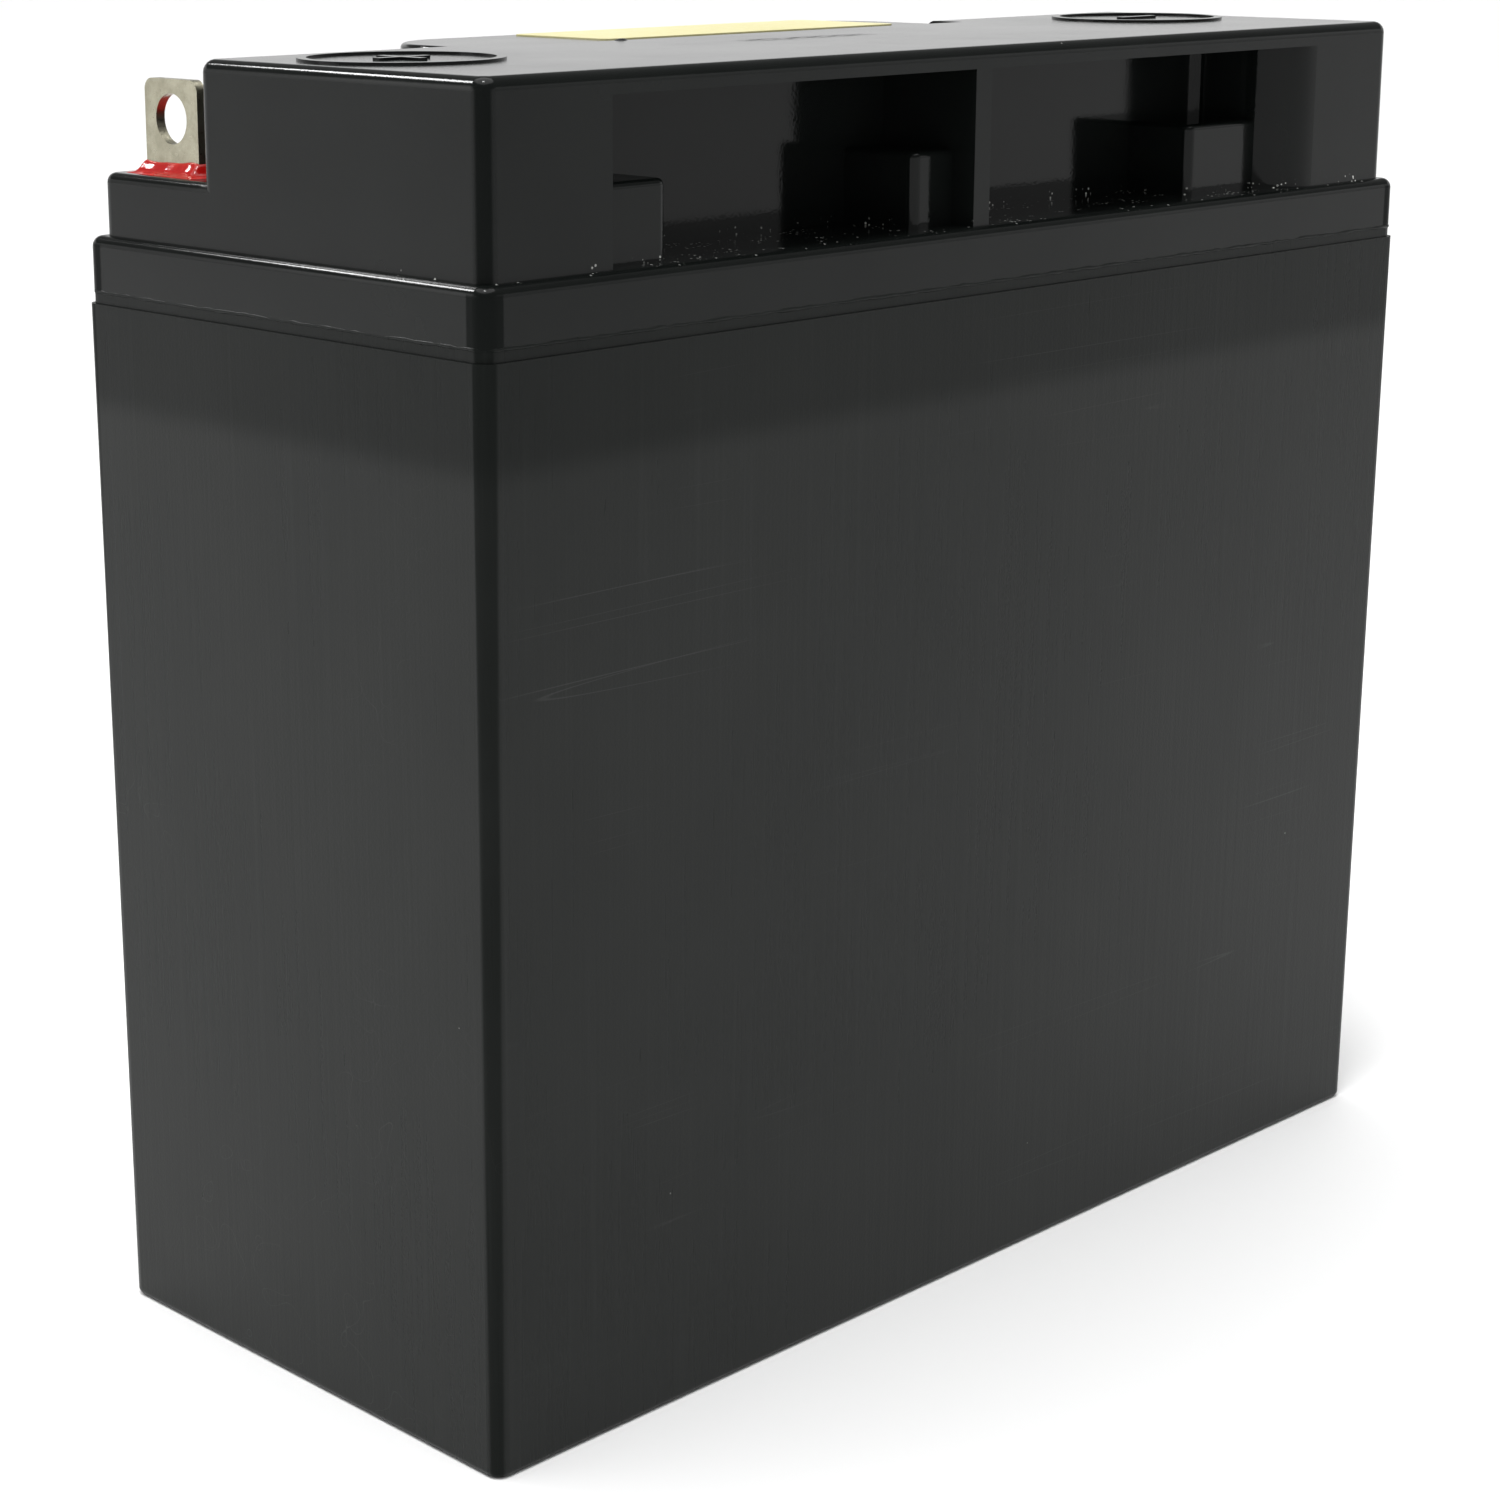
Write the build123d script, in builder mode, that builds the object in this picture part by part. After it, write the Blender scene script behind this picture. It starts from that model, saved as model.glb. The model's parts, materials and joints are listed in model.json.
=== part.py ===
from build123d import *
import os

os.makedirs("parts", exist_ok=True)

# A sealed 12 V lead-acid motorcycle battery: a drafted case with six cells in a row, a welded lid
# with two hand recesses in its front and a terminal notch at each rear corner, and a vent cover
# over the six valves. Millimetres, +X along the case, -Y the side with the recesses, +Z up,
# origin at the centre of the case's underside.

# Case
CASE_LENGTH = 181.0
CASE_WIDTH = 76.0
FOOT_LENGTH = 179.8
FOOT_WIDTH = 74.6
CASE_WIDE_Z = 135.8
SEAM_Z = 137.3
BAND_INSET = 0.35
CASE_CORNER = 2.0
CASE_FLOOR = 3.0
POCKET_FOOT = (172.6, 67.6)
POCKET_MOUTH = (174.8, 70.4)

# Cells
CELLS = 6
CELL_PITCH = 29.2
PARTITION = 1.8
PARTITION_TOP = 134.0

# Lid
FLANGE_LENGTH = 180.4
FLANGE_WIDTH = 75.4
LEDGE_Z = 144.3
LID_LENGTH = 177.3
LID_WIDTH = 72.3
LID_TOP = 167.0
MARK_RISE = 0.3
MARK_X = 72.0
MARK_Y = -3.0
MARK_RADIUS = 12.0
MARK_LINE = 1.2
MARK_BAR = 8.0
LID_WALL = 2.5
RECESS_ROOF = 164.2
RECESS_BACK_Y = -20.5
HOLLOW_X = 86.0
HOLLOW_Y = 34.0
DECK_TOP = 141.3
DECK_THICK = 2.0
RECESSES = [(-69.0, -5.0), (-1.9, 62.8)]
MOUTH_R = 7.6
RECESS_CORNER = 2.2
# step blocks on the recess floors: both ends and the front face; they run 2 mm into the walls
BLOCK_ROOT = 2.0
BLOCK_WALL = 2.2
STEP_BLOCKS = [(-71.0, -58.0, -34.0), (-12.4, -3.0, -32.4), (47.7, 64.8, -31.0)]
STEP_TOP = 154.0

# Terminal notches and the block between them
NOTCH_FLOOR = 152.2
NOTCH_FRONT_Y = 15.5
BLOCK_HALF = 45.5
BLOCK_CORNER = 12.0
COVER_SEAT = 164.9
COVER_FRONT_Y = 8.6
COVER_GAP = 0.4
COVER_TOP = 166.6
LABEL_TOP = 166.75
LABEL_X = (-20.0, 39.0)
LABEL_Y = (15.8, 34.8)

# Terminals, given for the positive one; the negative one is its mirror image
TAB_FACE_X = -84.0
TAB_THICK = 1.3
TAB_Y = 27.2
TAB_WIDTH = 10.8
TAB_TOP = 163.9
TAB_HOLE_R = 3.15
TAB_HOLE_Z = 159.0
FOOT_Z = 149.6
FOOT_END_X = -71.5
WELL_FLOOR = 148.9
WELL_X = (-86.8, -69.6)
WELL_Y = (19.8, 34.2)
SEAL_CREST = 153.5
POST_X = -77.0
POST_Y = 27.2
POST_R = 3.5

# Valves
VALVE_PITCH = 15.0
VALVE_Y = 24.5
VALVE_DECK = 152.5
PLENUM_TOP = 150.0
POCKET_R = 6.2
NECK_R = 3.5
NECK_TOP = 160.5
NECK_BORE_R = 1.5
CAP_R = 5.0
CAP_BORE_R = 3.56
CAP_FOOT = 153.6
CAP_TOP = 162.5
CAP_LIFT = 0.8

# Plates and straps
PLATE_FOOT = 5.0
PLATE_TOP = 118.0
PLATE_HALF = 32.5
POSITIVE_PLATE = 2.3
NEGATIVE_PLATE = 1.6
SEPARATOR = 1.15
POSITIVE_COUNT = 4
NEGATIVE_COUNT = 5
LUG_Y = 25.0
LUG_WIDTH = 11.0
STRAP_FOOT = 124.0
STRAP_TOP = 128.5
STRAP_LENGTH = 24.8
STRAP_WIDTH = 14.0
RISER_TOP = 133.4
RISER_THICK = 2.4
LINK_R = 2.4
LINK_Z = 130.0

cell_x = []
for index in range(CELLS):
    middle = (index - (CELLS - 1) / 2) * CELL_PITCH
    cell_x.append(middle)
wall_x = [(index - 2) * CELL_PITCH for index in range(CELLS - 1)]
valve_x = [(index - (CELLS - 1) / 2) * VALVE_PITCH for index in range(CELLS)]


def strap_side(cell, positive):
    """+1 when that strap of the cell is at the rear, -1 when it is at the front."""
    rear = cell % 2 == 0
    if not positive:
        rear = not rear
    return 1 if rear else -1


# ---------------------------------------------------------------- case
with BuildPart() as case:
    with BuildSketch(Plane.XY):
        RectangleRounded(FOOT_LENGTH, FOOT_WIDTH, CASE_CORNER)
    with BuildSketch(Plane.XY.offset(CASE_WIDE_Z)):
        RectangleRounded(CASE_LENGTH, CASE_WIDTH, CASE_CORNER)
    loft()
    fillet(case.edges().group_by(Axis.Z)[0], radius=0.9)
    with BuildSketch(Plane.XY.offset(CASE_WIDE_Z)):
        RectangleRounded(
            CASE_LENGTH - 2 * BAND_INSET, CASE_WIDTH - 2 * BAND_INSET, CASE_CORNER
        )
    extrude(amount=SEAM_Z - CASE_WIDE_Z)
    with BuildSketch(Plane.XY.offset(CASE_FLOOR)):
        RectangleRounded(*POCKET_FOOT, 1.0)
    with BuildSketch(Plane.XY.offset(SEAM_Z)):
        RectangleRounded(*POCKET_MOUTH, 1.0)
    loft(mode=Mode.SUBTRACT)
    # partitions between the cells
    with BuildSketch(Plane.XY.offset(CASE_FLOOR - 0.5)):
        with Locations([(x, 0) for x in wall_x]):
            Rectangle(PARTITION, POCKET_MOUTH[1] + 0.8)
    extrude(amount=PARTITION_TOP - CASE_FLOOR + 0.5)
    # the hole in each partition through which its two straps are welded
    for index, x in enumerate(wall_x):
        side = strap_side(index, False)
        with BuildSketch(Plane.YZ.offset(x - 2)):
            with Locations((side * LUG_Y, LINK_Z)):
                Circle(LINK_R)
        extrude(amount=4, mode=Mode.SUBTRACT)
case.part.label = "case"
export_step(case.part, "parts/case.step")

# ---------------------------------------------------------------- lid
# the tall front of the lid, behind which the terminals stand
with BuildPart() as lid_front:
    with BuildSketch(Plane.XY.offset(LEDGE_Z - 2)):
        with Locations((0, (NOTCH_FRONT_Y - LID_WIDTH / 2) / 2)):
            RectangleRounded(LID_LENGTH, NOTCH_FRONT_Y + LID_WIDTH / 2, 2.0)
    extrude(amount=LID_TOP - LEDGE_Z + 2)
    fillet(lid_front.edges().group_by(Axis.Z)[-1], radius=1.6)

# the lower rear of the lid, whose ends are the terminal shelves
with BuildPart() as lid_rear:
    with BuildSketch(Plane.XY.offset(LEDGE_Z - 2)):
        RectangleRounded(LID_LENGTH, LID_WIDTH, 2.0)
    extrude(amount=NOTCH_FLOOR - LEDGE_Z + 2)
    fillet(lid_rear.edges().group_by(Axis.Z)[-1], radius=1.2)

# blocks that stand on the recess floors, rounded at their free edges
with BuildPart() as step_blocks:
    with BuildSketch(Plane.XY.offset(LEDGE_Z - 0.5)):
        for low, high, front in STEP_BLOCKS:
            rear = RECESS_BACK_Y + BLOCK_ROOT
            with Locations(((low + high) / 2, (front + rear) / 2)):
                RectangleRounded(high - low, rear - front, 1.3)
    extrude(amount=STEP_TOP - LEDGE_Z + 0.5)
    fillet(step_blocks.edges().group_by(Axis.Z)[-1], radius=0.8)

with BuildPart() as lid:
    with BuildSketch(Plane.XY.offset(SEAM_Z)):
        RectangleRounded(FLANGE_LENGTH, FLANGE_WIDTH, CASE_CORNER)
    extrude(amount=LEDGE_Z - SEAM_Z)
    fillet(lid.edges().group_by(Axis.Z)[-1], radius=1.3)
    add(lid_front.part)
    add(lid_rear.part)
    # the block between the notches, which the vent cover closes
    with BuildSketch(Plane.XY.offset(LEDGE_Z)) as block_outline:
        with Locations((0, LID_WIDTH / 2 - 20)):
            Rectangle(2 * BLOCK_HALF, 40)
        fillet(block_outline.vertices().group_by(Axis.Y)[-1], radius=BLOCK_CORNER)
    extrude(amount=COVER_SEAT - LEDGE_Z)
    with BuildSketch(Plane.XY.offset(COVER_SEAT)):
        with Locations((0, COVER_FRONT_Y + 15)):
            Rectangle(2 * BLOCK_HALF, 30)
    extrude(amount=10, mode=Mode.SUBTRACT)
    # recesses, open to the front
    for low, high in RECESSES:
        with BuildSketch(Plane.XY.offset(LEDGE_Z)):
            with Locations(((low + high) / 2, RECESS_BACK_Y - 15)):
                Rectangle(high - low, 30)
        extrude(amount=RECESS_ROOF - LEDGE_Z, mode=Mode.SUBTRACT)
    # the right-hand recess opens in a bell mouth and is rounded in its inner corner
    right = RECESSES[1][1]
    front_y = -LID_WIDTH / 2
    with BuildSketch(Plane.XY.offset(LEDGE_Z)):
        with BuildLine():
            Line((right - 1, front_y - 1), (right - 1, front_y + MOUTH_R))
            Line((right - 1, front_y + MOUTH_R), (right, front_y + MOUTH_R))
            CenterArc((right + MOUTH_R, front_y + MOUTH_R), MOUTH_R, 180, 90)
            Line((right + MOUTH_R, front_y), (right + MOUTH_R, front_y - 1))
            Line((right + MOUTH_R, front_y - 1), (right - 1, front_y - 1))
        make_face()
    extrude(amount=RECESS_ROOF - LEDGE_Z, mode=Mode.SUBTRACT)
    corner_x = right - RECESS_CORNER
    corner_y = RECESS_BACK_Y - RECESS_CORNER
    with BuildSketch(Plane.XY.offset(LEDGE_Z)):
        with BuildLine():
            Line((right, corner_y), (right, RECESS_BACK_Y))
            Line((right, RECESS_BACK_Y), (corner_x, RECESS_BACK_Y))
            CenterArc((corner_x, corner_y), RECESS_CORNER, 0, 90)
        make_face()
    extrude(amount=RECESS_ROOF - LEDGE_Z)
    # step blocks on the recess floors
    add(step_blocks.part)
    # pole marks moulded on the top: a ring round the plus at one end, and round the minus at the other
    with BuildSketch(Plane.XY.offset(LID_TOP)):
        for side in (-1, 1):
            with Locations((side * MARK_X, MARK_Y)):
                Circle(MARK_RADIUS + MARK_LINE / 2)
                Circle(MARK_RADIUS - MARK_LINE / 2, mode=Mode.SUBTRACT)
                Rectangle(MARK_BAR, MARK_LINE)
        with Locations((-MARK_X, MARK_Y)):
            Rectangle(MARK_LINE, MARK_BAR)
    extrude(amount=MARK_RISE)
    # hollow underside: the space over the gas deck, the front corner posts and the cored blocks
    with BuildSketch(Plane.XY.offset(SEAM_Z)):
        RectangleRounded(2 * HOLLOW_X, 2 * HOLLOW_Y, 1.0)
    extrude(amount=DECK_TOP - SEAM_Z, mode=Mode.SUBTRACT)
    gallery = (-HOLLOW_X, HOLLOW_X, RECESS_BACK_Y + LID_WALL, COVER_FRONT_Y - 1.0)
    left_post = (-HOLLOW_X, RECESSES[0][0] - LID_WALL, -HOLLOW_Y, RECESS_BACK_Y + 6)
    right_post = (right + 6.0, HOLLOW_X, -HOLLOW_Y, RECESS_BACK_Y + 6)
    for x0, x1, y0, y1 in (gallery, left_post, right_post):
        with BuildSketch(Plane.XY.offset(DECK_TOP)):
            with Locations(((x0 + x1) / 2, (y0 + y1) / 2)):
                Rectangle(x1 - x0, y1 - y0)
        extrude(amount=RECESS_ROOF - DECK_TOP, mode=Mode.SUBTRACT)
    for low, high, front in STEP_BLOCKS:
        with BuildSketch(Plane.XY.offset(DECK_TOP)):
            with Locations(((low + high) / 2, (front + RECESS_BACK_Y) / 2)):
                Rectangle(high - low - 2 * BLOCK_WALL, RECESS_BACK_Y - front - 2 * BLOCK_WALL)
        extrude(amount=STEP_TOP - BLOCK_WALL - DECK_TOP, mode=Mode.SUBTRACT)
    # gas plenum under the valve wells, and the hollows under the terminal shelves
    plenum_y0 = gallery[3] - 0.5
    with BuildSketch(Plane.XY.offset(DECK_TOP)):
        with Locations((0, (plenum_y0 + HOLLOW_Y) / 2)):
            Rectangle(2 * (BLOCK_HALF - LID_WALL), HOLLOW_Y - plenum_y0)
    extrude(amount=PLENUM_TOP - DECK_TOP, mode=Mode.SUBTRACT)
    for side in (-1, 1):
        with BuildSketch(Plane.XY.offset(DECK_TOP)):
            with Locations((side * (HOLLOW_X + BLOCK_HALF) / 2, (NOTCH_FRONT_Y + HOLLOW_Y) / 2)):
                Rectangle(HOLLOW_X - BLOCK_HALF, HOLLOW_Y - NOTCH_FRONT_Y)
        extrude(amount=WELL_FLOOR - LID_WALL - DECK_TOP, mode=Mode.SUBTRACT)
    # valve wells, each with a hollow neck
    with BuildSketch(Plane.XY.offset(VALVE_DECK)):
        with Locations([(x, VALVE_Y) for x in valve_x]):
            Circle(POCKET_R)
    extrude(amount=COVER_SEAT - VALVE_DECK, mode=Mode.SUBTRACT)
    with BuildSketch(Plane.XY.offset(VALVE_DECK - 0.5)):
        with Locations([(x, VALVE_Y) for x in valve_x]):
            Circle(NECK_R)
    extrude(amount=NECK_TOP - VALVE_DECK + 0.5)
    with BuildSketch(Plane.XY.offset(PLENUM_TOP - 1)):
        with Locations([(x, VALVE_Y) for x in valve_x]):
            Circle(NECK_BORE_R)
    extrude(amount=NECK_TOP - PLENUM_TOP + 2, mode=Mode.SUBTRACT)
    # terminal wells, and the holes through which the lead posts pass
    for side in (-1, 1):
        middle = -side * (WELL_X[0] + WELL_X[1]) / 2
        with BuildSketch(Plane.XY.offset(WELL_FLOOR)):
            with Locations((middle, (WELL_Y[0] + WELL_Y[1]) / 2)):
                RectangleRounded(WELL_X[1] - WELL_X[0], WELL_Y[1] - WELL_Y[0], 1.5)
        extrude(amount=10, mode=Mode.SUBTRACT)
        with BuildSketch(Plane.XY.offset(DECK_TOP)):
            with Locations((-side * POST_X, POST_Y)):
                Circle(POST_R)
        extrude(amount=WELL_FLOOR - DECK_TOP + 1, mode=Mode.SUBTRACT)
lid.part.label = "lid"
export_step(lid.part, "parts/lid.step")

# ---------------------------------------------------------------- gas deck, with its ribs
with BuildPart() as gas_deck:
    with BuildSketch(Plane.XY.offset(DECK_TOP - DECK_THICK)):
        RectangleRounded(2 * HOLLOW_X - 0.2, 2 * HOLLOW_Y - 0.2, 1.0)
    extrude(amount=DECK_THICK)
    with BuildSketch(Plane.XY.offset(PARTITION_TOP)):
        with Locations([(x, 0) for x in wall_x]):
            Rectangle(PARTITION, 2 * HOLLOW_Y - 1)
    extrude(amount=DECK_TOP - DECK_THICK - PARTITION_TOP)
    # ribs that lead the gas of each cell to its own valve: up to the gallery's roof in front,
    # and up to the floor of the valve wells behind
    for index in range(CELLS - 1):
        start_x = wall_x[index]
        start_y = gallery[2] + 0.1
        bend_x = (index - 2) * VALVE_PITCH
        bend_y = gallery[3] - 0.1
        end_y = HOLLOW_Y - 0.2
        with BuildSketch(Plane.XY.offset(DECK_TOP - 0.5)):
            Polygon(
                (start_x - 0.8, start_y),
                (start_x + 0.8, start_y),
                (bend_x + 0.8, bend_y),
                (bend_x + 0.8, end_y),
                (bend_x - 0.8, end_y),
                (bend_x - 0.8, bend_y),
                align=None,
            )
        extrude(amount=PLENUM_TOP - DECK_TOP + 0.45)
        with BuildSketch(Plane.XY.offset(DECK_TOP - 0.5)):
            Polygon(
                (start_x - 0.8, start_y),
                (start_x + 0.8, start_y),
                (bend_x + 0.8, bend_y),
                (bend_x - 0.8, bend_y),
                align=None,
            )
        extrude(amount=RECESS_ROOF - DECK_TOP + 0.45)
    with BuildSketch(Plane.XY.offset(DECK_TOP - DECK_THICK)):
        with Locations([(x, -4) for x in cell_x]):
            Circle(2.5)
        with Locations((POST_X, POST_Y), (-POST_X, POST_Y)):
            Circle(POST_R)
    extrude(amount=DECK_THICK, mode=Mode.SUBTRACT)
gas_deck.part.label = "gas_deck"
export_step(gas_deck.part, "parts/gas_deck.step")

# ---------------------------------------------------------------- vent cover and its label
with BuildPart() as vent_cover:
    cover_front = COVER_FRONT_Y + COVER_GAP
    with BuildSketch(Plane.XY.offset(COVER_SEAT)) as cover_outline:
        with Locations((0, (cover_front + LID_WIDTH / 2) / 2)):
            Rectangle(2 * BLOCK_HALF, LID_WIDTH / 2 - cover_front)
        fillet(cover_outline.vertices().group_by(Axis.Y)[0], radius=1.6)
        fillet(cover_outline.vertices().group_by(Axis.Y)[-1], radius=BLOCK_CORNER)
    extrude(amount=COVER_TOP - COVER_SEAT)
    fillet(vent_cover.edges().group_by(Axis.Z)[-1], radius=0.7)
    # shallow gas space over the wells, with one slot out at the rear
    with BuildSketch(Plane.XY.offset(COVER_SEAT)):
        with Locations((0, VALVE_Y)):
            Rectangle(80, 15)
        with Locations((0, 34)):
            Rectangle(3, 8)
    extrude(amount=0.9, mode=Mode.SUBTRACT)
    # pads that keep each rubber cap on its neck
    with BuildSketch(Plane.XY.offset(CAP_TOP + CAP_LIFT + 0.2)):
        with Locations([(x, VALVE_Y) for x in valve_x]):
            Circle(2.0)
    extrude(amount=COVER_SEAT + 1.2 - CAP_TOP - CAP_LIFT - 0.2)
vent_cover.part.label = "vent_cover"
export_step(vent_cover.part, "parts/vent_cover.step")

with BuildPart() as top_label:
    with BuildSketch(Plane.XY.offset(COVER_TOP)):
        with Locations(((LABEL_X[0] + LABEL_X[1]) / 2, (LABEL_Y[0] + LABEL_Y[1]) / 2)):
            RectangleRounded(LABEL_X[1] - LABEL_X[0], LABEL_Y[1] - LABEL_Y[0], 1.5)
    extrude(amount=LABEL_TOP - COVER_TOP)
top_label.part.label = "top_label"
export_step(top_label.part, "parts/top_label.step")

# ---------------------------------------------------------------- valve caps
for index, x in enumerate(valve_x):
    with BuildPart() as valve_cap:
        with BuildSketch(Plane.XY.offset(CAP_FOOT)):
            with Locations((x, VALVE_Y)):
                Circle(CAP_R)
        extrude(amount=CAP_TOP - CAP_FOOT)
        fillet(valve_cap.edges().group_by(Axis.Z)[-1], radius=0.6)
        with BuildSketch(Plane.XY.offset(CAP_FOOT)):
            with Locations((x, VALVE_Y)):
                Circle(CAP_BORE_R)
        extrude(amount=NECK_TOP - CAP_FOOT, mode=Mode.SUBTRACT)
    valve_cap.part.label = f"valve_cap_{index + 1}"
    export_step(valve_cap.part, f"parts/valve_cap_{index + 1}.step")

# ---------------------------------------------------------------- terminals, posts and seals
for name, side in (("positive", 1), ("negative", -1)):
    with BuildPart() as terminal:
        with BuildSketch(Plane.YZ.offset(side * TAB_FACE_X)):
            with Locations((TAB_Y, (FOOT_Z + TAB_TOP) / 2)):
                Rectangle(TAB_WIDTH, TAB_TOP - FOOT_Z)
        extrude(amount=side * TAB_THICK)
        top_corners = terminal.edges().filter_by(Axis.X).group_by(Axis.Z)[-1]
        fillet(top_corners, radius=1.5)
        with BuildSketch(Plane.XY.offset(FOOT_Z)):
            with Locations((side * (TAB_FACE_X + FOOT_END_X) / 2, TAB_Y)):
                Rectangle(FOOT_END_X - TAB_FACE_X, TAB_WIDTH)
        extrude(amount=TAB_THICK)
        outer_bend = [
            e
            for e in terminal.edges().filter_by(Axis.Y)
            if abs(e.center().Z - FOOT_Z) < 0.1 and abs(e.center().X - side * TAB_FACE_X) < 0.1
        ]
        fillet(outer_bend, radius=1.6)
        with BuildSketch(Plane.YZ.offset(side * TAB_FACE_X)):
            with Locations((TAB_Y, TAB_HOLE_Z)):
                Circle(TAB_HOLE_R)
        extrude(amount=side * TAB_THICK, both=True, mode=Mode.SUBTRACT)
    terminal.part.label = f"{name}_terminal"
    export_step(terminal.part, f"parts/{name}_terminal.step")

    with BuildPart() as post:
        with BuildSketch(Plane.XY.offset(STRAP_TOP)):
            with Locations((side * POST_X, POST_Y)):
                Circle(POST_R)
        extrude(amount=FOOT_Z - STRAP_TOP)
    post.part.label = f"{name}_post"
    export_step(post.part, f"parts/{name}_post.step")

    with BuildPart() as seal:
        with BuildSketch(Plane.XY.offset(WELL_FLOOR)):
            with Locations((side * (WELL_X[0] + WELL_X[1]) / 2, (WELL_Y[0] + WELL_Y[1]) / 2)):
                RectangleRounded(WELL_X[1] - WELL_X[0], WELL_Y[1] - WELL_Y[0], 1.5)
        extrude(amount=NOTCH_FLOOR - WELL_FLOOR)
        with BuildSketch(Plane.XY.offset(NOTCH_FLOOR)):
            with Locations((side * (TAB_FACE_X + TAB_THICK / 2), TAB_Y - 0.6)):
                RectangleRounded(4.6, 12.4, 1.0)
        with BuildSketch(Plane.XY.offset(SEAL_CREST)):
            with Locations((side * (TAB_FACE_X + TAB_THICK / 2), TAB_Y)):
                RectangleRounded(2.5, 11.9, 0.8)
        loft()
        add(terminal.part, mode=Mode.SUBTRACT)
        add(post.part, mode=Mode.SUBTRACT)
    seal.part.label = f"{name}_seal"
    export_step(seal.part, f"parts/{name}_seal.step")

# ---------------------------------------------------------------- plates, separators and straps
positive_pitch = POSITIVE_PLATE + NEGATIVE_PLATE + 2 * SEPARATOR
for cell, centre in enumerate(cell_x):
    number = cell + 1
    positive_side = strap_side(cell, True)
    positive_x = [centre + (i - 1.5) * positive_pitch for i in range(POSITIVE_COUNT)]
    negative_x = [centre + (i - 2) * positive_pitch for i in range(NEGATIVE_COUNT)]

    groups = (
        ("positive", positive_x, POSITIVE_PLATE, positive_side),
        ("negative", negative_x, NEGATIVE_PLATE, -positive_side),
    )
    for polarity, plate_x, thick, end in groups:
        with BuildPart() as plates:
            with BuildSketch(Plane.XY.offset(PLATE_FOOT)):
                with Locations([(x, 0) for x in plate_x]):
                    Rectangle(thick, 2 * PLATE_HALF)
            extrude(amount=PLATE_TOP - PLATE_FOOT)
            with BuildSketch(Plane.XY.offset(PLATE_TOP)):
                with Locations([(x, end * LUG_Y) for x in plate_x]):
                    Rectangle(thick, LUG_WIDTH)
            extrude(amount=STRAP_FOOT - PLATE_TOP)
        plates.part.label = f"cell_{number}_{polarity}_plates"
        export_step(plates.part, f"parts/cell_{number}_{polarity}_plates.step")

        # the strap's riser stands against the partition that its weld passes through
        if polarity == "positive":
            riser_side = -1 if cell > 0 else 0
        else:
            riser_side = 1 if cell < CELLS - 1 else 0
        with BuildPart() as strap:
            with BuildSketch(Plane.XY.offset(STRAP_FOOT)):
                with Locations((centre, end * LUG_Y)):
                    RectangleRounded(STRAP_LENGTH, STRAP_WIDTH, 1.5)
            extrude(amount=STRAP_TOP - STRAP_FOOT)
            if riser_side:
                face = centre + riser_side * (CELL_PITCH - PARTITION) / 2
                with BuildSketch(Plane.XY.offset(STRAP_FOOT)):
                    with Locations((face - riser_side * RISER_THICK / 2, end * LUG_Y)):
                        Rectangle(RISER_THICK, STRAP_WIDTH - 3)
                extrude(amount=RISER_TOP - STRAP_FOOT)
        strap.part.label = f"cell_{number}_{polarity}_strap"
        export_step(strap.part, f"parts/cell_{number}_{polarity}_strap.step")

    # a folded glass mat round each positive plate
    with BuildPart() as separators:
        with BuildSketch(Plane.XY.offset(PLATE_FOOT - SEPARATOR)):
            with Locations([(x, 0) for x in positive_x]):
                Rectangle(POSITIVE_PLATE + 2 * SEPARATOR, 2 * PLATE_HALF + 2)
        extrude(amount=PLATE_TOP + 2 - PLATE_FOOT + SEPARATOR)
        with BuildSketch(Plane.XY.offset(PLATE_FOOT)):
            with Locations([(x, 0) for x in positive_x]):
                Rectangle(POSITIVE_PLATE, 2 * PLATE_HALF + 4)
        extrude(amount=PLATE_TOP, mode=Mode.SUBTRACT)
    separators.part.label = f"cell_{number}_separators"
    export_step(separators.part, f"parts/cell_{number}_separators.step")

# ---------------------------------------------------------------- welds through the partitions
for index, x in enumerate(wall_x):
    with BuildPart() as weld:
        with BuildSketch(Plane.YZ.offset(x - PARTITION / 2)):
            with Locations((strap_side(index, False) * LUG_Y, LINK_Z)):
                Circle(LINK_R)
        extrude(amount=PARTITION)
    weld.part.label = f"cell_weld_{index + 1}"
    export_step(weld.part, f"parts/cell_weld_{index + 1}.step")
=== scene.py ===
import json
import math
import random

import bmesh
import bpy
from mathutils import Matrix, Vector


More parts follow.
